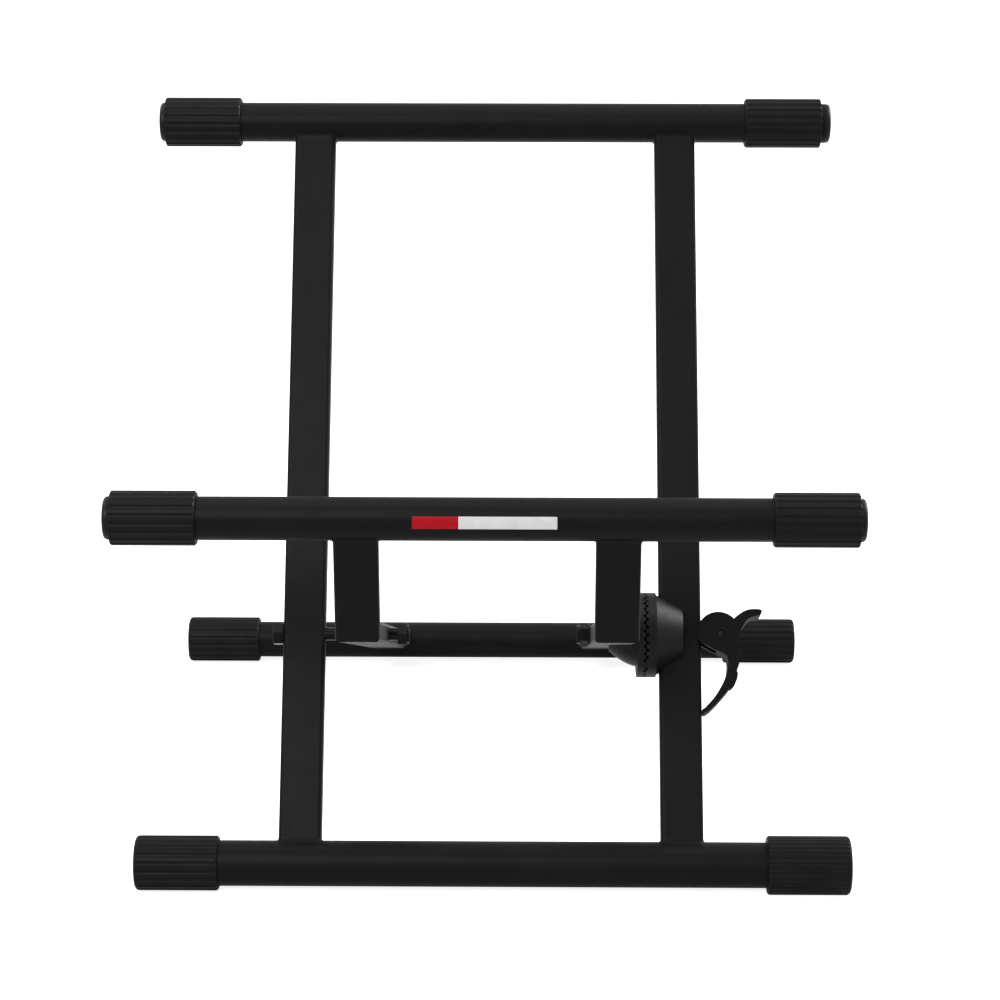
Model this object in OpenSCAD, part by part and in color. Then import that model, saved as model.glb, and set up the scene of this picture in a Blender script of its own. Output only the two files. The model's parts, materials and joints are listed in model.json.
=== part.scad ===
// Folding tilt-back stand for a combo amplifier, in millimetres, +Z up, front towards -Y.
// A welded outer frame (front foot bar, two long sloping legs, top bar) and a welded inner frame
// (seat bar, two posts, two arms, rear foot bar) cross at a pivot. On the left they turn on a bolt.
// On the right a toothed clutch holds the angle. A draw rod, pulled by a cam lever, clamps it.
// The origin is on the floor, under the middle of the bounding box.

/* [Cross bars] */
// Length of each cross bar over its end fittings
bar_len = 438.6; // [400:0.1:520]
// Outside diameter of the top, seat and rear foot bars
bar_d = 25.4; // [24:0.1:27]
// Outside diameter of the front foot bar
front_bar_d = 28; // [25.4:0.1:28.4]
// Wall of the cross bar tube
bar_wall = 1.5; // [1.2:0.1:2.5]
// Sideways offset of the front foot bar from the middle of the outer legs
front_bar_shift = 1.1; // [-3:0.1:3]
// Sideways offset of the seat and rear foot bars from the middle of the arms
inner_bar_shift = -1.5; // [-3:0.1:3]

/* [Outer frame] */
// Slope of the outer legs from the floor, in degrees
leg_slope = 54.6; // [50:0.1:60]
// Outer leg from the axis of the front foot bar up to the pivot
leg_below = 143.4; // [135:0.1:170]
// Outer leg from the pivot up to the axis of the top bar
leg_above = 341.8; // [315:0.1:400]
// Distance between the centre lines of the outer legs
leg_spacing = 234.8; // [225:0.2:260]

/* [Inner frame] */
// Slope of the arms from the floor, falling to the rear, in degrees
arm_slope = 25.4; // [22:0.1:30]
// Distance between the centre lines of the arms
arm_spacing = 151.8; // [130:0.2:160]
// Run from the pivot forward to the middle of the posts
post_run = 101.9; // [90:0.1:110]
// Height of the seat bar's axis above the pivot
seat_rise = 119.5; // [100:0.5:130]

/* [Flat tube of legs, posts and arms] */
// Width of the flat tube, across the stand
flat_w = 26.2; // [22:0.1:28]
// Thickness of the flat tube
flat_t = 12.7; // [12:0.1:14]
// Wall of the flat tube
flat_wall = 1.5; // [1.2:0.1:1.5]
// Outside corner radius of the flat tube
flat_r = 2.4; // [1.8:0.1:3]

/* [Rubber grips and end plugs] */
// Length of each ribbed grip
grip_len = 49.5; // [40:0.5:65]
// Distance from the top bar's left tip to its grip
top_inset_left = 3.5; // [2:0.1:8]
// Distance from the top bar's right tip to its grip
top_inset_right = 6.2; // [2:0.1:8]
// Distance from the seat bar's left tip to its grip
seat_inset_left = 3.9; // [2:0.1:8]
// Distance from the seat bar's right tip to its grip
seat_inset_right = 3.6; // [2:0.1:8]
// Length of each foot cap
cap_len = 51; // [40:0.5:65]
// Rubber thickness of the grips and the rear foot caps
grip_wall = 3.2; // [2.6:0.1:4]
// Rubber thickness of the left front foot cap
left_cap_wall = 2.8; // [2.6:0.1:4]
// Rubber thickness of the right front foot cap
right_cap_wall = 4; // [2.6:0.1:4.5]
// Ribs round each grip and foot cap, but the right front one
grip_ribs = 20; // [14:2:24]
// Width of a groove between two ribs, where it opens
groove_w = 3.2; // [1.2:0.1:3.6]
// Depth of those grooves
groove_depth = 0.8; // [0.4:0.05:0.9]
// Ribs round the right front foot cap
fine_ribs = 34; // [24:2:40]
// Width of its grooves, where they open
fine_groove_w = 2; // [0.8:0.1:2.2]
// Depth of its grooves
fine_groove_depth = 0.5; // [0.3:0.05:0.7]
// Thickness of the closed end of a foot cap
cap_end = 3; // [2:0.5:5]
// Rounding of the closed end of a foot cap
cap_round = 2.5; // [1.5:0.1:2.9]
// Least depth of the flat on which a foot cap stands
foot_flat = 0.3; // [0.1:0.05:0.3]
// Height of an end plug's head
plug_head = 3; // [2.4:0.1:4]
// Rounding of an end plug's head
plug_round = 2.2; // [1:0.1:2.3]
// Step from the tube down to an end plug's head
plug_step = 0.1; // [0:0.05:0.5]
// Length of an end plug inside the tube
plug_depth = 14; // [8:1:20]

/* [Pivot] */
// Diameter of the pivot bolt and of the draw rod
rod_d = 8; // [7:0.1:8]
// Radial running clearance of a shaft in a bore, and of two faces that turn
run_gap = 0.05; // [0.03:0.01:0.1]
// Wall of the bushes that line the legs and arms
bush_wall = 0.75; // [0.6:0.05:0.8]
// Width across the flats of the bolt head and nuts
hex_af = 13; // [12.5:0.1:14]
// Height of the bolt head
bolt_head_h = 5.5; // [5:0.1:6.5]
// Height of a lock nut with its nylon collar
nut_h = 6.9; // [6.5:0.1:9]
// Height of the nylon collar alone
collar_h = 1.6; // [1:0.1:2.5]
// Thickness of the washers
washer_t = 1; // [0.8:0.1:2]
// Play between the left arm and the lock nut of its bolt
float_gap = 5.6; // [3:0.1:6]

/* [Clutch] */
// Diameter of the toothed discs
clutch_d = 53; // [52:0.2:60]
// Teeth round each disc
clutch_teeth = 34; // [24:1:40]
// Height of the teeth
tooth_h = 2; // [1.5:0.1:2.4]
// Flat on the crest of a tooth, at the rim
tooth_crest = 1.8; // [0.2:0.1:2.4]
// Gap between the crests of the two tooth rings
tooth_gap = 0.2; // [0.2:0.05:0.5]
// Radial width of the tooth ring
tooth_ring = 6; // [4:0.5:8]
// Thickness of the outer disc behind its teeth
outer_disc_t = 4.6; // [3.6:0.1:7]
// Thickness of the inner disc behind its teeth
inner_disc_t = 3; // [2.6:0.1:6]
// Seat of the outer half, between its disc and the leg
outer_seat = 2.1; // [0.2:0.1:3]
// Seat of the inner half, between its disc and the arm
inner_seat = 3.1; // [2:0.1:5]
// Radius of the outer cone at its disc
outer_cone_base = 25.2; // [20:0.1:25.8]
// Radius of the outer cone at its end
outer_cone_tip = 16.4; // [12:0.1:20]
// Length of the outer cone
outer_cone_l = 16.6; // [12:0.1:20]
// Radius of the inner cone at its disc
inner_cone_base = 19.8; // [18:0.1:24]
// Radius of the inner cone at its end
inner_cone_tip = 10; // [9:0.1:14]
// Length of the inner cone
inner_cone_l = 17.3; // [12:0.1:20]
// Outward bulge of the inner cone's side
inner_cone_bulge = 1.6; // [0:0.1:2.5]
// Radius of the pocket for the release spring in each half
pocket_r = 9.2; // [8.5:0.1:11]
// Depth of that pocket below the roots of the teeth
pocket_depth = 1.6; // [1:0.1:2.5]
// Turns of the release spring
spring_turns = 3.5; // [2.5:0.5:4]
// Wire diameter of the release spring
spring_wire = 1.2; // [0.8:0.1:1.3]

/* [Cam lever] */
// Distance of the lever pin from the side of the leg
pin_standoff = 12.5; // [12.2:0.1:13.5]
// Diameter of the lever pin
pin_d = 4; // [3.5:0.1:5]
// Radius of the eye at the end of the draw rod
eye_r = 5.5; // [5:0.1:6]
// Thickness of each cheek that straddles the leg
cheek_t = 1.2; // [1:0.1:2]
// Radius of the round hub
hub_r = 13.4; // [13:0.1:13.8]
// Throw of the cam over its whole turn
cam_throw = 2.4; // [1:0.1:2.6]
// Turn of the lever from clamped to released, in degrees
lever_turn = 72; // [60:1:72]
// Width of the pad let into the tail
pad_w = 10; // [6:0.5:12]

/* [Hidden] */
$fn = 64;

// Clearance between welded or pushed-on pieces, clearance round a rod, and a length that clears a cut
snug = 0.05;
bore_gap = 0.15;
over = 1;

// Bevel of a grip's ends and a plug's tip, step from a nut's flats in to its collar, lip of the rod washer
edge_bevel = 1;
collar_step = 0.8;
washer_lip = 0.5;

// How far each lock nut happens to be turned, in degrees
left_nut_turn = 10;
rod_nut_turn = 20;

// Colours
steel_black = [0.07, 0.07, 0.075];
rubber_black = [0.05, 0.05, 0.055];
plastic_black = [0.09, 0.09, 0.095];
bush_bronze = [0.42, 0.34, 0.22];

// Side view, with the front foot bar at y = 0 before the whole is centred
bar_r = bar_d / 2;
front_bar_r = front_bar_d / 2;
foot_cap_radii = [bar_r + grip_wall, front_bar_r + left_cap_wall, front_bar_r + right_cap_wall];
foot_z = min(foot_cap_radii) - foot_flat;
pivot_y = leg_below * cos(leg_slope);
pivot_z = foot_z + leg_below * sin(leg_slope);
arm_back = leg_below * sin(leg_slope) / sin(arm_slope);
arm_front = post_run / cos(arm_slope);
rear_y = pivot_y + arm_back * cos(arm_slope);
seat_y = pivot_y - post_run;
seat_z = pivot_z + seat_rise;
bend_z = pivot_z + post_run * tan(arm_slope);
mitre_angle = (90 - arm_slope) / 2;

// Across the stand, with x = 0 midway between the outer legs before the whole is centred
leg_x = leg_spacing / 2;
outer_disc_x = leg_x - flat_w / 2 - outer_seat;
outer_root_x = outer_disc_x - outer_disc_t;
inner_root_x = outer_root_x - 2 * tooth_h - tooth_gap;
inner_disc_x = inner_root_x - inner_disc_t;
arm_right_x = inner_disc_x - inner_seat - flat_w / 2;
arm_left_x = arm_right_x - arm_spacing;
inner_mid_x = (arm_left_x + arm_right_x) / 2 + inner_bar_shift;
bolt_seat_x = -leg_x - flat_w / 2 - washer_t;
left_nut_x = arm_left_x + flat_w / 2 + float_gap;
rod_washer_x = arm_right_x - flat_w / 2 - run_gap;
rod_nut_x = rod_washer_x - washer_t;
pin_x = leg_x + flat_w / 2 + pin_standoff;

// Shift that puts the origin under the middle of the bounding box
bar_mids = [0, front_bar_shift, inner_mid_x];
origin_x = (min(bar_mids) + max(bar_mids)) / 2;
origin_y = (min(0, seat_y) + rear_y) / 2;

// Clutch and lever details
clutch_r = clutch_d / 2;
bush_r = rod_d / 2 + run_gap + bush_wall;
core_t = flat_t + 2 * bore_gap;
lever_t = core_t + 2 * cheek_t;
tooth_relief = 0.3;

// Turn of the inner teeth, counted in teeth, that puts them between the outer ones when the stand is open
mesh_turn = (180 + leg_slope + arm_slope) * clutch_teeth / 360 + 0.5;

// Steps along a cone's side, eye of the draw rod and cam of the lever
cone_steps = 6;
eye_side = 0.3;
eye_t = rod_d + 2 * eye_side;
shank_gap = 0.5;
pin_recess = 0.4;
cam_r = pin_standoff - run_gap;
cam_slope = cam_throw * 180 / (PI * lever_turn);
cam_steps = 12;

// Release spring: one round wire wound along x between the floors of the two pockets
spring_sides = 8;
spring_steps = 16;
spring_side_gap = 0.6;
spring_r = pocket_r - spring_side_gap - spring_wire / 2;
spring_x = inner_root_x - pocket_depth + bore_gap + spring_wire / 2;
spring_run = outer_root_x + pocket_depth - bore_gap - spring_wire / 2 - spring_x;
spring_rings = spring_turns * spring_steps;

// Outline of the lever round its pin: x points away from the leg, y up the leg
tail_gap = 0.2;
tail_x = -pin_standoff + tail_gap;
hub_mid = [-1.7, 0.2];
hub_from = 204;
hub_to = 48;
horn_top = [[7.8, 9.3], [12.1, 12.7], [15.6, 14.6], [19.1, 15.4], [24.8, 15.4]];
horn_tip = [[25.8, 14.6], [25.3, 12.8], [24.4, 11.7]];
lever_back = [
    [20, 10.6], [16.9, 9.1], [14.3, 5.5], [11.8, 0.5], [10.9, -4], [11.2, -7.7], [12, -11.9], [11.8, -16],
    [10.6, -20.2], [9.2, -24.4], [7.5, -29.5], [5.1, -34.2], [1.4, -38.9], [-3.7, -44.6], [-8.6, -49.3]
];
tail_tip = [[-10.2, -50.2], [-11.3, -50.2], [tail_x, -49.2], [tail_x, -47.9]];
lever_front = [
    [-10.8, -47.1], [-3.7, -38.9], [2.3, -27.8], [3.9, -21.4], [3.9, -16.6], [2.3, -13.4],
    [-5.5, -9.6], [-12.2, -5.6]
];
pad_outline = [
    [9.7, -23.1], [10.3, -24.9], [9.9, -28], [8.5, -31.6], [6.6, -33.9], [5.3, -34.6],
    [3.9, -32.7], [6.1, -28.9], [7.5, -24]
];
slot_side = 255;

// Frames of reference

module in_stand() {
    translate([-origin_x, -origin_y, 0])
    children();
}

// At the pivot: y runs up the outer legs and z out of their front faces
module at_legs() {
    in_stand()
    translate([0, pivot_y, pivot_z])
    rotate([leg_slope, 0, 0])
    children();
}

// At the pivot: y runs back and down the arms and z out of their upper faces
module at_arms() {
    in_stand()
    translate([0, pivot_y, pivot_z])
    rotate([-arm_slope, 0, 0])
    children();
}

// At the end of the draw rod, on the axis of the lever pin
module at_pin() {
    at_legs()
    translate([pin_x, 0, 0])
    children();
}

// Shapes used by many pieces

module rod_x(x0, x1, r, sides = 64) {
    translate([x0, 0, 0])
    rotate([0, 90, 0])
    cylinder(h = x1 - x0, r = r, $fn = sides);
}

module ring_x(x0, x1, r_out, r_in) {
    difference() {
        rod_x(x0, x1, r_out);
        rod_x(x0 - over, x1 + over, r_in);
    }
}

module rounded_rect(w, t, r) {
    square([w - 2 * r, t], center = true);
    square([w, t - 2 * r], center = true);
    for (sx = [-1, 1], sy = [-1, 1])
        translate([sx * (w / 2 - r), sy * (t / 2 - r)])
        circle(r = r);
}

// Flat tube along y from y0 to y1
module flat_tube(y0, y1) {
    translate([0, y0, 0])
    rotate([-90, 0, 0])
    linear_extrude(height = y1 - y0)
    difference() {
        rounded_rect(flat_w, flat_t, flat_r);
        rounded_rect(flat_w - 2 * flat_wall, flat_t - 2 * flat_wall, flat_r / 2);
    }
}

// Round tube of a cross bar round x = mid, short of the bar's ends by inset
module cross_tube(mid, inset, r) {
    reach = bar_len / 2 - inset;
    ring_x(mid - reach, mid + reach, r, r - bar_wall);
}

// Round bite that fits the end of a flat tube to a cross bar of radius r
module cope(r) {
    rod_x(-flat_w, flat_w, r + snug);
}

module bush_hole() {
    rod_x(-flat_w, flat_w, bush_r + snug);
}

module bush(x) {
    ring_x(x - flat_w / 2, x + flat_w / 2, bush_r, bush_r - bush_wall);
}

// Quarter round of radius r, from the side to the end of a turned outline
function corner(side, end, r) = [for (a = [0:15:90]) [side - r + r * cos(a), end - r + r * sin(a)]];

// Groove along rubber of radius r, from x = 0 to x = length
module groove(r, length, w, depth) {
    groove_r = (w * w / 4 + depth * depth) / (2 * depth);
    translate([0, 0, r + groove_r - depth])
    rod_x(-over, length + over, groove_r, 24);
}

// Ribbed rubber on a tube, from x = 0 to x = length: a sleeve, or a foot cap if it is closed
module ribbed_rubber(tube_r, wall, length, ribs, w, depth, closed) {
    r = tube_r + wall;
    bore_end = closed ? length - cap_end : length + over;
    difference() {
        rotate([0, 90, 0])
        rotate_extrude()
        polygon(concat(
            [[0, 0], [r - edge_bevel, 0], [r, edge_bevel]],
            corner(r, length, closed ? cap_round : edge_bevel),
            [[0, length]]
        ));
        rod_x(-over, bore_end, tube_r + snug);
        for (i = [0:ribs - 1])
            rotate([(i + 0.5) * 360 / ribs, 0, 0])
            groove(r, length, w, depth);
    }
}

// Side is -1 at the left end of a bar and 1 at the right
module grip_at(mid, side, inset) {
    translate([mid + side * (bar_len / 2 - inset - grip_len), 0, 0])
    rotate([0, 0, side < 0 ? 180 : 0])
    ribbed_rubber(bar_r, grip_wall, grip_len, grip_ribs, groove_w, groove_depth, false);
}

// Foot cap on a bar, cut flat on the floor
module foot_cap_at(mid, side, tube_r, wall, ribs, w, depth) {
    r = tube_r + wall;
    difference() {
        translate([mid + side * (bar_len / 2 - cap_len), 0, 0])
        rotate([0, 0, side < 0 ? 180 : 0])
        ribbed_rubber(tube_r, wall, cap_len, ribs, w, depth, true);
        translate([mid - bar_len, -r, -foot_z - r])
        cube([2 * bar_len, 2 * r, r]);
    }
}

// Domed end plug with its spigot in the tube
module end_plug_at(mid, side) {
    spigot_r = bar_r - bar_wall - snug;
    head_r = bar_r - plug_step;
    translate([mid + side * (bar_len / 2 - plug_head), 0, 0])
    rotate([0, side * 90, 0])
    rotate_extrude()
    polygon(concat(
        [[0, -plug_depth], [spigot_r - edge_bevel, -plug_depth], [spigot_r, edge_bevel - plug_depth]],
        [[spigot_r, snug], [head_r, snug]],
        corner(head_r, plug_head, plug_round),
        [[0, plug_head]]
    ));
}

module hex_x(x0, x1, turn) {
    rotate([turn, 0, 0])
    translate([x0, 0, 0])
    rotate([0, 90, 0])
    cylinder(h = x1 - x0, r = hex_af / 2 / cos(30), $fn = 6);
}

// Lock nut that starts at x = 0 and has its nylon collar at the far end
module lock_nut(turn) {
    difference() {
        union() {
            hex_x(0, nut_h - collar_h, turn);
            rod_x(0, nut_h, hex_af / 2 - collar_step);
        }
        rod_x(-over, nut_h + over, rod_d / 2 + snug);
    }
}

// Outer frame

module front_foot_tube() {
    color(steel_black)
    in_stand()
    translate([0, 0, foot_z])
    cross_tube(front_bar_shift, cap_end + snug, front_bar_r);
}

module top_tube() {
    color(steel_black)
    at_legs()
    translate([0, leg_above, 0])
    cross_tube(0, plug_head, bar_r);
}

module outer_leg(side) {
    color(steel_black)
    at_legs()
    translate([side * leg_x, 0, 0])
    difference() {
        flat_tube(-leg_below, leg_above);
        translate([0, -leg_below, 0])
        cope(front_bar_r);
        translate([0, leg_above, 0])
        cope(bar_r);
        bush_hole();
    }
}

module leg_bush(side) {
    color(bush_bronze)
    at_legs()
    bush(side * leg_x);
}

module front_foot_cap_left() {
    color(rubber_black)
    in_stand()
    translate([0, 0, foot_z])
    foot_cap_at(front_bar_shift, -1, front_bar_r, left_cap_wall, grip_ribs, groove_w, groove_depth);
}

module front_foot_cap_right() {
    color(rubber_black)
    in_stand()
    translate([0, 0, foot_z])
    foot_cap_at(front_bar_shift, 1, front_bar_r, right_cap_wall, fine_ribs, fine_groove_w, fine_groove_depth);
}

module top_grip(side, inset) {
    color(rubber_black)
    at_legs()
    translate([0, leg_above, 0])
    grip_at(0, side, inset);
}

module top_end_plug(side) {
    color(plastic_black)
    at_legs()
    translate([0, leg_above, 0])
    end_plug_at(0, side);
}

// Left pivot

module pivot_bolt() {
    color(steel_black)
    at_legs()
    union() {
        hex_x(bolt_seat_x - bolt_head_h, bolt_seat_x, -leg_slope);
        rod_x(bolt_seat_x - over, left_nut_x + nut_h, rod_d / 2);
    }
}

module pivot_washer() {
    color(steel_black)
    at_legs()
    ring_x(bolt_seat_x, bolt_seat_x + washer_t, hex_af / 2, rod_d / 2 + snug);
}

module pivot_lock_nut() {
    color(steel_black)
    at_legs()
    translate([left_nut_x, 0, 0])
    lock_nut(left_nut_turn);
}

// Clutch: each half is a toothed disc with a cone behind it that is slotted over its flat tube

// V cut between two teeth, its bottom on x = 0 and open towards +x
module tooth_cut() {
    half_gap = PI * clutch_r / clutch_teeth - tooth_crest / 2;
    translate([0, 0, pocket_r])
    linear_extrude(height = clutch_d)
    polygon([[0, 0], [2 * tooth_h, 2 * half_gap], [2 * tooth_h, -2 * half_gap]]);
}

// Side of a cone whose radius goes from base to tip over its length, and swells by bulge halfway
function cone_side(base, tip, length, bulge) =
    let (steps = bulge > 0 ? cone_steps : 1)
    [for (i = [0:steps])
        let (t = i / steps)
        [base + t * (tip - base) + 4 * bulge * t * (1 - t), t * length]];

// One half with the roots of its teeth on x = 0: disc, cone, slot for the tube, pocket and bore
module clutch_half(phase, disc_t, seat, cone_base, cone_tip, cone_l, bulge) {
    difference() {
        union() {
            rod_x(-disc_t, tooth_h, clutch_r);
            translate([-disc_t, 0, 0])
            rotate([0, -90, 0])
            rotate_extrude()
            polygon(concat(
                [[0, -over], [cone_base, -over]],
                cone_side(cone_base, cone_tip, cone_l, bulge),
                [[0, cone_l]]
            ));
        }
        for (i = [0:clutch_teeth - 1])
            rotate([(i + phase) * 360 / clutch_teeth, 0, 0])
            tooth_cut();
        rod_x(-tooth_relief, tooth_h + over, clutch_r - tooth_ring);
        translate([-disc_t - seat - cone_l, -clutch_r, -flat_t / 2 - snug])
        cube([cone_l + snug, clutch_d, flat_t + 2 * snug]);
        rod_x(-pocket_depth, over, pocket_r);
        rod_x(-disc_t - cone_l, over, rod_d / 2 + bore_gap);
    }
}

module outer_clutch_half() {
    color(plastic_black)
    at_legs()
    translate([outer_root_x, 0, 0])
    rotate([0, 180, 0])
    clutch_half(0, outer_disc_t, outer_seat, outer_cone_base, outer_cone_tip, outer_cone_l, 0);
}

module inner_clutch_half() {
    color(plastic_black)
    at_arms()
    translate([inner_root_x, 0, 0])
    clutch_half(
        mesh_turn, inner_disc_t, inner_seat, inner_cone_base, inner_cone_tip, inner_cone_l, inner_cone_bulge
    );
}

function spring_point(i, j) =
    let (turn = i * 360 / spring_steps, side = j * 360 / spring_sides)
    let (r = spring_r + spring_wire / 2 * cos(side))
    [spring_x + spring_run * i / spring_rings + spring_wire / 2 * sin(side), r * cos(turn), r * sin(turn)];

function spring_wall(i, j) =
    let (a = i * spring_sides + j, b = i * spring_sides + (j + 1) % spring_sides)
    [[a, b, b + spring_sides], [a, b + spring_sides, a + spring_sides]];

module release_spring() {
    last = spring_rings * spring_sides;
    color(steel_black)
    at_legs()
    polyhedron(
        points = [for (i = [0:spring_rings], j = [0:spring_sides - 1]) spring_point(i, j)],
        faces = concat(
            [[for (j = [spring_sides - 1:-1:0]) j]],
            [for (i = [0:spring_rings - 1], j = [0:spring_sides - 1]) each spring_wall(i, j)],
            [[for (j = [0:spring_sides - 1]) last + j]]
        )
    );
}

// Inner frame

module seat_tube() {
    color(steel_black)
    in_stand()
    translate([0, seat_y, seat_z])
    cross_tube(inner_mid_x, plug_head, bar_r);
}

module rear_foot_tube() {
    color(steel_black)
    in_stand()
    translate([0, rear_y, foot_z])
    cross_tube(inner_mid_x, cap_end + snug, bar_r);
}

// Half space beyond the mitre where a post meets its arm: y lies in the cut and z points into the post
module mitre_waste(up) {
    reach = 4 * flat_t;
    translate([-flat_w, -reach, up ? 0 : -reach])
    cube([2 * flat_w, 2 * reach, reach]);
}

module inner_post(x) {
    color(steel_black)
    in_stand()
    translate([x, seat_y, bend_z])
    difference() {
        rotate([90, 0, 0])
        flat_tube(-flat_t, seat_z - bend_z);
        rotate([mitre_angle, 0, 0])
        mitre_waste(false);
        translate([0, 0, seat_z - bend_z])
        cope(bar_r);
    }
}

module inner_arm(x) {
    color(steel_black)
    at_arms()
    translate([x, 0, 0])
    difference() {
        flat_tube(-arm_front - flat_t, arm_back);
        translate([0, -arm_front, 0])
        rotate([mitre_angle + arm_slope, 0, 0])
        mitre_waste(true);
        translate([0, arm_back, 0])
        cope(bar_r);
        bush_hole();
    }
}

module arm_bush(x) {
    color(bush_bronze)
    at_arms()
    bush(x);
}

module rear_foot_cap(side) {
    color(rubber_black)
    in_stand()
    translate([0, rear_y, foot_z])
    foot_cap_at(inner_mid_x, side, bar_r, grip_wall, grip_ribs, groove_w, groove_depth);
}

module seat_grip(side, inset) {
    color(rubber_black)
    in_stand()
    translate([0, seat_y, seat_z])
    grip_at(inner_mid_x, side, inset);
}

module seat_end_plug(side) {
    color(plastic_black)
    in_stand()
    translate([0, seat_y, seat_z])
    end_plug_at(inner_mid_x, side);
}

// Draw rod of the clutch

module draw_rod() {
    color(steel_black)
    at_legs()
    difference() {
        union() {
            rod_x(rod_nut_x - nut_h, pin_x - pin_d / 2 - shank_gap, rod_d / 2);
            translate([pin_x, 0, -eye_t / 2])
            cylinder(h = eye_t, r = eye_r);
        }
        translate([pin_x, 0, -eye_t])
        cylinder(h = 2 * eye_t, r = pin_d / 2 + run_gap);
    }
}

module rod_washer() {
    color(steel_black)
    at_legs()
    ring_x(rod_washer_x - washer_t, rod_washer_x, hex_af / 2 + washer_lip, rod_d / 2 + snug);
}

module rod_lock_nut() {
    color(steel_black)
    at_legs()
    translate([rod_nut_x, 0, 0])
    rotate([0, 0, 180])
    lock_nut(rod_nut_turn);
}

// Cam lever, drawn round its pin with z to the front

// A smooth curve through points, with steps pieces between each pair
function spline(p, steps = 4) = [
    for (i = [0:len(p) - 2], k = [0:steps - 1])
        let (a = p[max(i - 1, 0)], b = p[i], c = p[i + 1], d = p[min(i + 2, len(p) - 1)], t = k / steps)
        b + t * (c - a) / 2 + t * t * (a - 5 * b / 2 + 2 * c - d / 2) + t * t * t * (3 * (b - c) + d - a) / 2
];

module lever_outline() {
    polygon(concat(
        [for (a = [hub_from:-6:hub_to]) hub_mid + hub_r * [cos(a), sin(a)]],
        spline(horn_top),
        horn_tip,
        spline(lever_back),
        tail_tip,
        spline(lever_front)
    ));
}

// Edge of the cam: its distance from the pin falls steadily as the lever turns, so the rod is let go
function cam_point(a) =
    let (reach = cam_r - cam_throw * a / lever_turn)
    reach * [-cos(a), sin(a)] - cam_slope * [sin(a), cos(a)];

// All that lies outside the cam, on the side of the leg
module cam_waste() {
    far = 3 * hub_r;
    last = cam_point(lever_turn);
    polygon(concat(
        [[-far, -far], [-cam_r, -far]],
        [for (i = [0:cam_steps]) cam_point(i * lever_turn / cam_steps)],
        [last + far * [sin(lever_turn), cos(lever_turn)], [-far, far]]
    ));
}

// Slot that the rod swings through as the lever turns, open at the hub's underside
module rod_slot() {
    far = 3 * hub_r;
    side = rod_d / 2 + bore_gap;
    edge = side * [sin(lever_turn), cos(lever_turn)];
    circle(r = eye_r + bore_gap);
    polygon([
        [0, 0], edge, edge + far * [-cos(lever_turn), sin(lever_turn)],
        [-far, far], [-far, -far], far * [cos(slot_side), sin(slot_side)]
    ]);
}

module cam_lever() {
    color(plastic_black)
    at_pin()
    difference() {
        linear_extrude(height = lever_t, center = true)
        lever_outline();
        linear_extrude(height = core_t, center = true)
        cam_waste();
        linear_extrude(height = eye_t + 2 * bore_gap, center = true)
        rod_slot();
        linear_extrude(height = pad_w + 2 * snug, center = true)
        polygon(pad_outline);
        translate([0, 0, -lever_t])
        cylinder(h = 2 * lever_t, r = pin_d / 2 + snug);
    }
}

module lever_pin() {
    color(steel_black)
    at_pin()
    translate([0, 0, -lever_t / 2 + pin_recess])
    cylinder(h = lever_t - 2 * pin_recess, r = pin_d / 2);
}

module lever_pad() {
    color(rubber_black)
    at_pin()
    linear_extrude(height = pad_w, center = true)
    polygon(pad_outline);
}

front_foot_tube();
top_tube();
outer_leg(-1);  // outer_leg_left
outer_leg(1);  // outer_leg_right
leg_bush(-1);  // leg_bush_left
leg_bush(1);  // leg_bush_right
front_foot_cap_left();
front_foot_cap_right();
top_grip(-1, top_inset_left);  // top_grip_left
top_grip(1, top_inset_right);  // top_grip_right
top_end_plug(-1);  // top_end_plug_left
top_end_plug(1);  // top_end_plug_right
pivot_bolt();
pivot_washer();
pivot_lock_nut();
outer_clutch_half();
release_spring();
seat_tube();
rear_foot_tube();
inner_post(arm_left_x);  // inner_post_left
inner_post(arm_right_x);  // inner_post_right
inner_arm(arm_left_x);  // inner_arm_left
inner_arm(arm_right_x);  // inner_arm_right
arm_bush(arm_left_x);  // arm_bush_left
arm_bush(arm_right_x);  // arm_bush_right
rear_foot_cap(-1);  // rear_foot_cap_left
rear_foot_cap(1);  // rear_foot_cap_right
seat_grip(-1, seat_inset_left);  // seat_grip_left
seat_grip(1, seat_inset_right);  // seat_grip_right
seat_end_plug(-1);  // seat_end_plug_left
seat_end_plug(1);  // seat_end_plug_right
inner_clutch_half();
draw_rod();
rod_washer();
rod_lock_nut();
cam_lever();
lever_pin();
lever_pad();
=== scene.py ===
import json
import math

import bmesh
import bpy
from mathutils import Matrix, Vector

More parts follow.
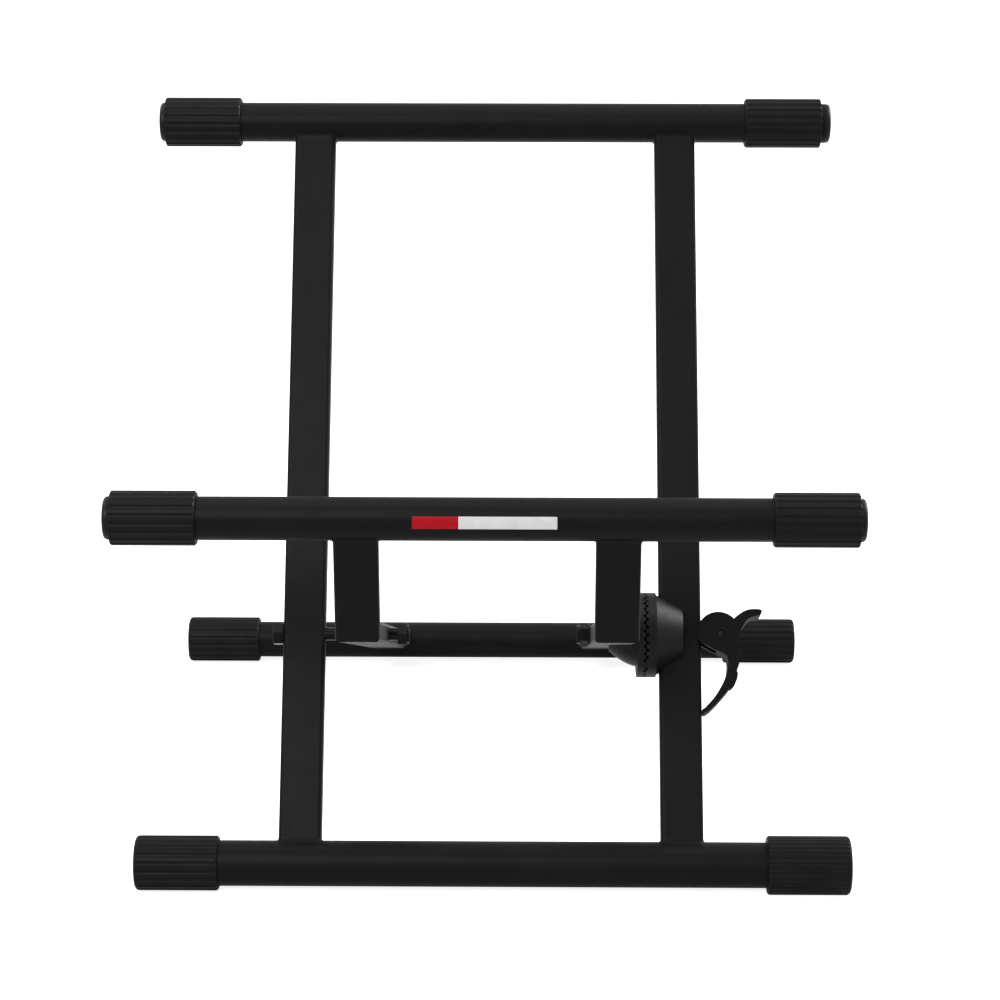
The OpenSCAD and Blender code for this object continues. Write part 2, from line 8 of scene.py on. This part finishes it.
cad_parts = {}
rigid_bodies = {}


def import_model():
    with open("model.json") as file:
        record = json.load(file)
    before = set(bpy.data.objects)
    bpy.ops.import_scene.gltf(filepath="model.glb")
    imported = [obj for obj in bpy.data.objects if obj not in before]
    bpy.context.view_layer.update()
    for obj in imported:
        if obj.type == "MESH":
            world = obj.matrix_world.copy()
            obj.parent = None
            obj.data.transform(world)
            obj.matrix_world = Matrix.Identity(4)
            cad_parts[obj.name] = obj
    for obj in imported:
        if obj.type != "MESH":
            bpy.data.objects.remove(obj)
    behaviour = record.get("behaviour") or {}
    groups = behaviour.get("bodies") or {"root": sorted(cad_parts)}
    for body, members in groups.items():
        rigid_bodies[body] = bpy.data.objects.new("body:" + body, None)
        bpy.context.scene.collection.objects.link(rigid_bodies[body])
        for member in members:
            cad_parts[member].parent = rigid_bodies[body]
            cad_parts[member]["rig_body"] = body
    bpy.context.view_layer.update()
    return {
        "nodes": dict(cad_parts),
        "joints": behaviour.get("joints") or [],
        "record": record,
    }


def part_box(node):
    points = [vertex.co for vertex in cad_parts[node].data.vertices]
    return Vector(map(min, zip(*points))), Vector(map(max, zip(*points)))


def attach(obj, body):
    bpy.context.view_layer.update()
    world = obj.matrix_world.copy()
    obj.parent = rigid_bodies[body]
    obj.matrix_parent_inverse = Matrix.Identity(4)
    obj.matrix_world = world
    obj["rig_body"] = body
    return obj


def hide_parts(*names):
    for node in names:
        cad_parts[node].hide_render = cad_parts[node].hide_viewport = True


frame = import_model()

# The scene dresses a folding combo amplifier stand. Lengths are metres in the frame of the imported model:
# the origin on the floor under the middle of the stand, +X to the right, +Y to the rear, +Z up.
MM = 0.001
nodes = frame["nodes"]
slot_of = {part["node"]: part["material_slot"] for part in frame["record"]["subparts"]}

# Flat tube: its thickness, as the posts have it, the radius of its corners and the fewest steps round one
post_lo, post_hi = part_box("inner_post_left")
FLAT_T = post_hi.y - post_lo.y
FLAT_R = 2.4 * MM
CORNER_STEPS = 3

# Welds: reach of the fillet along the flat tube and along the bar, each on the wide faces and on the narrow
# sides, its lift off the two tubes and its depth in them, its waves as (number round the tube, share of the
# reach), the step between its rings and the steps along its hollow face
WELD_UP = (4.0 * MM, 2.0 * MM)
WELD_OUT = (3.0 * MM, 1.3 * MM)
WELD_SKIN = 0.06 * MM
WELD_ROOT = 0.8 * MM
WELD_WAVES = ((11, 0.06), (25, 0.04))
WELD_STEP = 0.8 * MM
WELD_TURNS = 7

# Rounded edges: vertices that are one, faces that are one plane, edges that are rounded, and those that
# still look sharp afterwards
MERGE_DISTANCE = 0.002 * MM
PLANE_ANGLE = math.radians(1)
ROUNDED_ANGLE = math.radians(30)
CREASE_ANGLE = math.radians(50)

# Plain stripe on the front of the seat bar: its ends and where its colour changes, the rise of its middle
# line and half its width in degrees round the bar, its gap to the bar, its thickness and its steps
STRIPE_LEFT = -43.5 * MM
STRIPE_SPLIT = -17.0 * MM
STRIPE_RIGHT = 39.5 * MM
STRIPE_RISE = 12.0
STRIPE_HALF = 16.5
STRIPE_GAP = 0.02 * MM
STRIPE_T = 0.12 * MM
STRIPE_STEPS = 16

# Studio: light of the room on matt surfaces, the floor's own share of white, how much of that shows in gloss
# and glass, half the floor's width and its drop under the feet, the point that the lamps face, and the lamps
# as (name, place, size, radiance)
ROOM_LIGHT = 0.25
FLOOR_LIFT = 0.85
FLOOR_MIRRORED = 0.25
FLOOR_HALF = 6.0
FLOOR_DROP = 0.1 * MM
STAND_MID = (0, 0, 0.2)
LAMPS = (
    ("lamp_over", (0.0, 0.1, 2.0), (1.4, 1.0), 2.0),
    ("lamp_front", (-0.8, -1.45, 1.7), (1.6, 0.9), 7.5),
    ("lamp_left", (-1.24, 0.65, 1.5), (1.2, 1.2), 2.5),
    ("lamp_right", (1.55, 0.75, 1.25), (1.2, 1.2), 12.0),
)

# Camera, fitted to the photograph: turns in degrees, lens and sensor in millimetres of the camera
CAMERA_PLACE = (17.6 * MM, -1613.2 * MM, 837.5 * MM)
CAMERA_PITCH = -21.73
CAMERA_YAW = 0.434
CAMERA_ROLL = 0.03
CAMERA_LENS = 97.2
CAMERA_SENSOR = 36
CAMERA_CLIP = (0.05, 50)

# Range in which nearly all values of a noise lie
NOISE_LOW, NOISE_HIGH = 0.3, 0.7


# Materials

class Shader:
    """A node material round one Principled shader."""

    def __init__(self, name, **sockets):
        self.material = bpy.data.materials.new(name)
        self.material.use_nodes = True
        self.tree = self.material.node_tree
        self.surface = self.tree.nodes["Principled BSDF"]
        for socket, value in sockets.items():
            self.surface.inputs[socket.replace("_", " ")].default_value = value
        self.place = self.node("ShaderNodeTexCoord").outputs["Object"]

    def node(self, kind, **settings):
        made = self.tree.nodes.new(kind)
        for name, value in settings.items():
            setattr(made, name, value)
        return made

    def link(self, a, b):
        self.tree.links.new(a, b)

    def noise(self, size, detail=3.0, roughness=0.55):
        """Values of a noise whose blots are about size across."""
        made = self.node("ShaderNodeTexNoise")
        made.inputs["Scale"].default_value = 1 / size
        made.inputs["Detail"].default_value = detail
        made.inputs["Roughness"].default_value = roughness
        self.link(self.place, made.inputs["Vector"])
        return made.outputs["Fac"]

    def spread(self, value, low, high):
        """A noise's values spread from low to high."""
        made = self.node("ShaderNodeMapRange")
        made.inputs["From Min"].default_value = NOISE_LOW
        made.inputs["From Max"].default_value = NOISE_HIGH
        made.inputs["To Min"].default_value = low
        made.inputs["To Max"].default_value = high
        self.link(value, made.inputs["Value"])
        return made.outputs["Result"]

    def tint(self, value, dark, light):
        """Base colour that goes from dark to light with value."""
        made = self.node("ShaderNodeMix", data_type="RGBA")
        made.inputs["A"].default_value = (*dark, 1)
        made.inputs["B"].default_value = (*light, 1)
        self.link(value, made.inputs["Factor"])
        self.link(made.outputs["Result"], self.surface.inputs["Base Color"])

    def rough(self, value):
        """Roughness taken from value."""
        self.link(value, self.surface.inputs["Roughness"])

    def bumps(self, *layers):
        """Relief in layers, each as (value, depth)."""
        normal = None
        for height, depth in layers:
            made = self.node("ShaderNodeBump")
            made.inputs["Distance"].default_value = depth
            self.link(height, made.inputs["Height"])
            if normal:
                self.link(normal, made.inputs["Normal"])
            normal = made.outputs["Normal"]
        self.link(normal, self.surface.inputs["Normal"])


def frame_paint():
    """Satin black powder coat: an orange peel a millimetre or two across, with a finer grain on it."""
    s = Shader("frame_paint", Specular_IOR_Level=0.07)
    peel = s.noise(1.6 * MM, 2)
    grain = s.noise(0.35 * MM, 2)
    s.tint(s.spread(s.noise(30 * MM), 0, 1), (0.0042, 0.0042, 0.0044), (0.0056, 0.0056, 0.0059))
    s.rough(s.spread(s.noise(9 * MM), 0.42, 0.48))
    s.bumps((peel, 0.016 * MM), (grain, 0.006 * MM))
    return s.material


def grip_rubber():
    """Matt black moulded rubber with a fine grain."""
    s = Shader("grip_rubber", Specular_IOR_Level=0.08)
    s.tint(s.spread(s.noise(14 * MM), 0, 1), (0.0045, 0.0045, 0.0047), (0.0065, 0.0065, 0.0068))
    s.rough(s.spread(s.noise(4 * MM), 0.42, 0.50))
    s.bumps((s.noise(1.1 * MM), 0.03 * MM), (s.noise(0.25 * MM), 0.012 * MM))
    return s.material


def plug_plastic():
    """Black polyethylene with a faint moulded grain."""
    s = Shader("plug_plastic", Specular_IOR_Level=0.12)
    s.tint(s.spread(s.noise(8 * MM), 0, 1), (0.0062, 0.0062, 0.0065), (0.0085, 0.0085, 0.0088))
    s.rough(s.spread(s.noise(3 * MM), 0.36, 0.44))
    s.bumps((s.noise(0.5 * MM), 0.012 * MM))
    return s.material


def clutch_nylon():
    """Glass-filled nylon: a satin moulding with short fibres that just show."""
    s = Shader("clutch_nylon", Specular_IOR_Level=0.07)
    s.tint(s.spread(s.noise(5 * MM), 0, 1), (0.0036, 0.0036, 0.0038), (0.0052, 0.0052, 0.0054))
    s.rough(s.spread(s.noise(2.5 * MM), 0.52, 0.60))
    s.bumps((s.noise(0.9 * MM), 0.025 * MM), (s.noise(0.2 * MM), 0.01 * MM))
    return s.material


def clutch_grain():
    """The same nylon with the coarse grain of the clutch halves, which spreads light that grazes them."""
    s = Shader("clutch_grain", Specular_IOR_Level=0.16)
    s.tint(s.spread(s.noise(5 * MM), 0, 1), (0.0020, 0.0020, 0.0022), (0.0032, 0.0032, 0.0034))
    s.rough(s.spread(s.noise(2.5 * MM), 0.44, 0.52))
    s.bumps((s.noise(1.4 * MM), 0.05 * MM), (s.noise(0.5 * MM), 0.03 * MM))
    return s.material


def black_hardware():
    """Black oxide on steel, dark but glossy where light grazes it."""
    s = Shader("black_hardware", Specular_IOR_Level=0.08)
    s.tint(s.spread(s.noise(3 * MM), 0, 1), (0.0036, 0.0036, 0.0038), (0.0058, 0.0058, 0.0060))
    s.rough(s.spread(s.noise(1.2 * MM), 0.18, 0.26))
    s.bumps((s.noise(0.3 * MM), 0.008 * MM))
    return s.material


def pin_steel():
    """Darkened steel of the lever pin, whose domed end catches the light."""
    s = Shader("pin_steel", Metallic=1.0)
    s.tint(s.spread(s.noise(2 * MM), 0, 1), (0.024, 0.024, 0.025), (0.034, 0.034, 0.035))
    s.rough(s.spread(s.noise(1 * MM), 0.20, 0.28))
    s.bumps((s.noise(0.3 * MM), 0.006 * MM))
    return s.material


def bush_bronze():
    """Sintered bronze, dark with oil."""
    s = Shader("bush_bronze", Metallic=1.0)
    s.tint(s.spread(s.noise(0.8 * MM), 0, 1), (0.020, 0.016, 0.012), (0.050, 0.040, 0.028))
    s.rough(s.spread(s.noise(0.8 * MM), 0.35, 0.5))
    s.bumps((s.noise(0.3 * MM), 0.012 * MM))
    return s.material


def pad_rubber():
    """Soft matt rubber of the lever's pad."""
    s = Shader("pad_rubber", Specular_IOR_Level=0.1)
    s.tint(s.spread(s.noise(3 * MM), 0, 1), (0.0065, 0.0065, 0.0065), (0.0095, 0.0095, 0.0095))
    s.rough(s.spread(s.noise(1.5 * MM), 0.6, 0.7))
    s.bumps((s.noise(0.4 * MM), 0.02 * MM))
    return s.material


def stripe_vinyl(name, dark, light):
    """Printed vinyl of the plain stripe."""
    s = Shader(name, Specular_IOR_Level=0.12)
    s.tint(s.spread(s.noise(6 * MM), 0, 1), dark, light)
    s.rough(s.spread(s.noise(4 * MM), 0.34, 0.42))
    s.bumps((s.noise(1.2 * MM), 0.006 * MM))
    return s.material


def between(tree, share, low, high):
    """A number that goes from low to high with share."""
    made = tree.nodes.new("ShaderNodeMapRange")
    made.inputs["To Min"].default_value = low
    made.inputs["To Max"].default_value = high
    tree.links.new(share, made.inputs["Value"])
    return made.outputs["Result"]


def seen_ray(tree, mirrored=1):
    """One for camera rays, and mirrored for those that show the background in gloss or through glass."""
    path = tree.nodes.new("ShaderNodeLightPath").outputs
    seen = path["Is Camera Ray"]
    for ray in ("Is Glossy Ray", "Is Transmission Ray"):
        either = tree.nodes.new("ShaderNodeMath")
        either.operation = "MAXIMUM"
        tree.links.new(seen, either.inputs[0])
        tree.links.new(between(tree, path[ray], 0, mirrored), either.inputs[1])
        seen = either.outputs["Value"]
    return seen


def floor_paper():
    """Pale paper: white to the camera where the light is full, with the stand's soft shadow left on it."""
    s = Shader("floor_paper", Base_Color=(0.7, 0.7, 0.7, 1), Roughness=0.9, Specular_IOR_Level=0.1)
    s.surface.inputs["Emission Color"].default_value = (1, 1, 1, 1)
    seen = seen_ray(s.tree, FLOOR_MIRRORED)
    s.link(between(s.tree, seen, 0, FLOOR_LIFT), s.surface.inputs["Emission Strength"])
    return s.material


# Meshes

def add_piece(name, bm, body, material):
    """Makes a piece from a bmesh, gives it a material and sets it riding on a body."""
    mesh = bpy.data.meshes.new(name)
    bmesh.ops.recalc_face_normals(bm, faces=bm.faces)
    bm.to_mesh(mesh)
    bm.free()
    piece = bpy.data.objects.new(name, mesh)
    bpy.context.scene.collection.objects.link(piece)
    mesh.materials.append(material)
    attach(piece, body)
    return piece


def skin(bm, rings, closed):
    """Faces between rings of points. The last ring joins the first if closed, else both are filled."""
    made = [[bm.verts.new(p) for p in ring] for ring in rings]
    count = len(made[0])
    last = len(made) if closed else len(made) - 1
    for i in range(last):
        a, b = made[i], made[(i + 1) % len(made)]
        for j in range(count):
            k = (j + 1) % count
            bm.faces.new((a[j], a[k], b[k], b[j])).smooth = True
    if not closed:
        bm.faces.new(made[0])
        bm.faces.new(reversed(made[-1]))


def rounded_outline(half_w, half_t, r, step):
    """Points round a flat tube's section, about a step apart, as (across, through)."""
    points = []
    corners = [(1, 1, 0), (-1, 1, 90), (-1, -1, 180), (1, -1, 270)]
    turns = max(CORNER_STEPS, round(math.pi / 2 * r / step))
    for (sx, sy, start), (nx, ny, _) in zip(corners, corners[1:] + corners[:1]):
        for i in range(turns + 1):
            a = math.radians(start + 90 * i / turns)
            points.append((sx * (half_w - r) + r * math.cos(a), sy * (half_t - r) + r * math.sin(a)))
        here = points[-1]
        a = math.radians(start + 90)
        there = (nx * (half_w - r) + r * math.cos(a), ny * (half_t - r) + r * math.sin(a))
        run = math.dist(here, there)
        for i in range(1, max(1, round(run / step))):
            t = i * step / run
            if t < 1:
                points.append((here[0] + t * (there[0] - here[0]), here[1] + t * (there[1] - here[1])))
    return points


def bar_axis(bar):
    """The point of a cross bar's middle line over the origin's X."""
    lo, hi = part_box(bar)
    return Vector((0, (lo.y + hi.y) / 2, (lo.z + hi.z) / 2))


def bar_radius(bar):
    """Half the height of a cross bar's box."""
    lo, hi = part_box(bar)
    return (hi.z - lo.z) / 2


def mixed(pair, share):
    """A number between the two of a pair."""
    return pair[0] + share * (pair[1] - pair[0])


def fillet_weld(name, flat, bar, along, body):
    """The smooth weld of a flat tube's end on a round bar; along points from the bar up the flat tube."""
    bar_mid = bar_axis(bar)
    bar_r = bar_radius(bar)
    flat_lo, flat_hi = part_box(flat)
    across = Vector((1, 0, 0))
    through = across.cross(along)
    outline = rounded_outline((flat_hi.x - flat_lo.x) / 2, FLAT_T / 2, FLAT_R, WELD_STEP)
    length = sum(math.dist(p, outline[i - 1]) for i, p in enumerate(outline))
    bm = bmesh.new()
    rings = []
    run = 0.0
    for i, (u, v) in enumerate(outline):
        before, after = outline[i - 1], outline[(i + 1) % len(outline)]
        run += math.dist((u, v), before) / length
        out = ((after[1] - before[1]) * across - (after[0] - before[0]) * through).normalized()
        side = abs(out.x)
        wave = 1 + sum(share * math.sin(2 * math.pi * count * run) for count, share in WELD_WAVES)
        axis = Vector(((flat_lo.x + flat_hi.x) / 2 + u, bar_mid.y, bar_mid.z))
        root = axis + v * through + math.sqrt(bar_r ** 2 - v ** 2) * along
        up_end = root + wave * mixed(WELD_UP, side) * along + WELD_SKIN * out
        far = root + wave * mixed(WELD_OUT, side) * out
        axis.x = far.x
        out_end = axis + (bar_r + WELD_SKIN) * (far - axis).normalized()
        corner = root + WELD_SKIN * (out + along)
        ring = []
        for k in range(WELD_TURNS + 1):
            t = k / WELD_TURNS
            ring.append((1 - t) ** 2 * up_end + 2 * t * (1 - t) * corner + t ** 2 * out_end)
        axis.x = root.x
        ring.append(out_end - WELD_ROOT * (out_end - axis).normalized())
        ring.append(up_end - WELD_ROOT * out)
        rings.append(ring)
    skin(bm, rings, True)
    piece = add_piece(name, bm, body, paints["frame_paint"])
    ring_size = len(rings[0])
    for edge in piece.data.edges:
        a, b = (n % ring_size for n in edge.vertices)
        edge.use_edge_sharp = a == b and a in (0, WELD_TURNS)


def softened(node, width, segments=2):
    """A copy of a CAD node with its sharp edges rounded, which stands for the node."""
    source = nodes[node]
    bm = bmesh.new()
    bm.from_mesh(source.data)
    bmesh.ops.remove_doubles(bm, verts=bm.verts, dist=MERGE_DISTANCE)
    bmesh.ops.dissolve_limit(bm, angle_limit=PLANE_ANGLE, verts=bm.verts, edges=bm.edges)
    sharp = [e for e in bm.edges if len(e.link_faces) == 2 and e.calc_face_angle() > ROUNDED_ANGLE]
    bmesh.ops.bevel(bm, geom=sharp, offset=width, segments=segments, profile=0.5, affect="EDGES",
                    clamp_overlap=True)
    for face in bm.faces:
        face.smooth = True
    for edge in bm.edges:
        edge.smooth = len(edge.link_faces) != 2 or edge.calc_face_angle() < CREASE_ANGLE
    piece = add_piece(node + "_soft", bm, source["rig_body"], paint_of(node))
    piece.modifiers.new("normals", "WEIGHTED_NORMAL").keep_sharp = True
    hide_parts(node)


def stripe(name, x0, x1, material):
    """One colour of the plain stripe, a thin strip bent round the front of the seat bar."""
    axis = bar_axis("seat_tube")
    r = bar_radius("seat_tube") + STRIPE_GAP
    bm = bmesh.new()
    rings = []
    for i in range(STRIPE_STEPS + 1):
        a = math.radians(STRIPE_RISE - STRIPE_HALF + 2 * STRIPE_HALF * i / STRIPE_STEPS)
        out = Vector((0, -math.cos(a), math.sin(a)))
        ring = []
        for x, lift in ((x0, 0), (x1, 0), (x1, STRIPE_T), (x0, STRIPE_T)):
            ring.append(axis + Vector((x, 0, 0)) + (r + lift) * out)
        rings.append(ring)
    skin(bm, rings, False)
    for face in bm.faces:
        face.smooth = False
    add_piece(name, bm, "inner_frame", material)


# Stand: the materials of the slots, and of the nodes that differ from their slot

paints = {
    "frame_paint": frame_paint(),
    "grip_rubber": grip_rubber(),
    "plug_plastic": plug_plastic(),
    "clutch_nylon": clutch_nylon(),
    "black_hardware": black_hardware(),
    "bush_bronze": bush_bronze(),
    "pad_rubber": pad_rubber(),
}
own_paints = dict.fromkeys(("outer_clutch_half", "inner_clutch_half"), clutch_grain())
own_paints["lever_pin"] = pin_steel()


def paint_of(node):
    """The material of a CAD node."""
    return own_paints.get(node, paints[slot_of[node]])


def paint_nodes():
    """Gives each CAD node its material."""
    for node in slot_of:
        for holder in nodes[node].material_slots:
            holder.material = paint_of(node)


def weld_frames():
    """Welds where the legs, posts and arms meet the cross bars."""
    foot, top = bar_axis("front_foot_tube"), bar_axis("top_tube")
    up_leg = (top - foot).normalized()
    rear = bar_axis("rear_foot_tube")
    pivot = next(j for j in frame["joints"] if j["name"] == "fold")["pos_m"]
    up_arm = (Vector((0, pivot[1], pivot[2])) - rear).normalized()
    for side in ("left", "right"):
        leg, arm, post = "outer_leg_" + side, "inner_arm_" + side, "inner_post_" + side
        fillet_weld("weld_foot_" + side, leg, "front_foot_tube", up_leg, "outer_frame")
        fillet_weld("weld_top_" + side, leg, "top_tube", -up_leg, "outer_frame")
        fillet_weld("weld_seat_" + side, post, "seat_tube", Vector((0, 0, -1)), "inner_frame")
        fillet_weld("weld_rear_" + side, arm, "rear_foot_tube", up_arm, "inner_frame")


def soften_mouldings():
    """Rounds the edges of the small mouldings and fasteners."""
    softened("cam_lever", 0.5 * MM, 3)
    softened("lever_pad", 0.3 * MM)
    softened("lever_pin", 0.9 * MM, 4)
    softened("pivot_bolt", 0.35 * MM)
    softened("pivot_lock_nut", 0.25 * MM)
    softened("rod_lock_nut", 0.25 * MM)
    softened("pivot_washer", 0.15 * MM)
    softened("rod_washer", 0.15 * MM)


def add_stripe():
    """Adds the plain stripe in two colours."""
    red = stripe_vinyl("stripe_red", (0.33, 0.003, 0.009), (0.39, 0.004, 0.012))
    grey = stripe_vinyl("stripe_grey", (0.60, 0.60, 0.61), (0.67, 0.67, 0.68))
    stripe("stripe_left", STRIPE_LEFT, STRIPE_SPLIT, red)
    stripe("stripe_right", STRIPE_SPLIT, STRIPE_RIGHT, grey)


# Studio

def add_floor():
    """A wide plain floor just under the feet."""
    mesh = bpy.data.meshes.new("floor")
    corners = [(sx * FLOOR_HALF, sy * FLOOR_HALF, 0) for sx, sy in ((-1, -1), (1, -1), (1, 1), (-1, 1))]
    mesh.from_pydata(corners, [], [(0, 1, 2, 3)])
    floor = bpy.data.objects.new("floor", mesh)
    floor.location.z = -FLOOR_DROP
    mesh.materials.append(floor_paper())
    bpy.context.scene.collection.objects.link(floor)


def add_lamp(name, place, target, size, power):
    """A soft rectangular lamp aimed at a point."""
    data = bpy.data.lights.new(name, "AREA")
    data.shape = "RECTANGLE"
    data.size, data.size_y = size
    data.energy = power
    lamp = bpy.data.objects.new(name, data)
    lamp.location = place
    lamp.rotation_euler = (Vector(target) - Vector(place)).to_track_quat("-Z", "Y").to_euler()
    bpy.context.scene.collection.objects.link(lamp)


def add_light():
    """A pale room, a soft box over the stand, one in front of it and two high at its back corners."""
    world = bpy.data.worlds.new("room")
    world.use_nodes = True
    tree = world.node_tree
    room = tree.nodes["Background"].inputs
    room["Color"].default_value = (1, 1, 1, 1)
    tree.links.new(between(tree, seen_ray(tree), ROOM_LIGHT, 1), room["Strength"])
    bpy.context.scene.world = world
    for name, place, size, radiance in LAMPS:
        add_lamp(name, place, STAND_MID, size, radiance * math.pi * size[0] * size[1])


def add_camera():
    """The camera of the photograph."""
    data = bpy.data.cameras.new("camera")
    data.sensor_width = CAMERA_SENSOR
    data.lens = CAMERA_LENS
    data.clip_start, data.clip_end = CAMERA_CLIP
    camera = bpy.data.objects.new("camera", data)
    camera.location = CAMERA_PLACE
    turn = Matrix.Rotation(math.radians(CAMERA_YAW), 4, "Z")
    tilt = Matrix.Rotation(math.radians(90 + CAMERA_PITCH), 4, "X")
    roll = Matrix.Rotation(math.radians(CAMERA_ROLL), 4, "Z")
    camera.rotation_euler = (turn @ tilt @ roll).to_euler()
    bpy.context.scene.collection.objects.link(camera)
    bpy.context.scene.camera = camera


paint_nodes()
weld_frames()
soften_mouldings()
add_stripe()
add_floor()
add_light()
add_camera()
bpy.context.scene.view_settings.view_transform = "Standard"
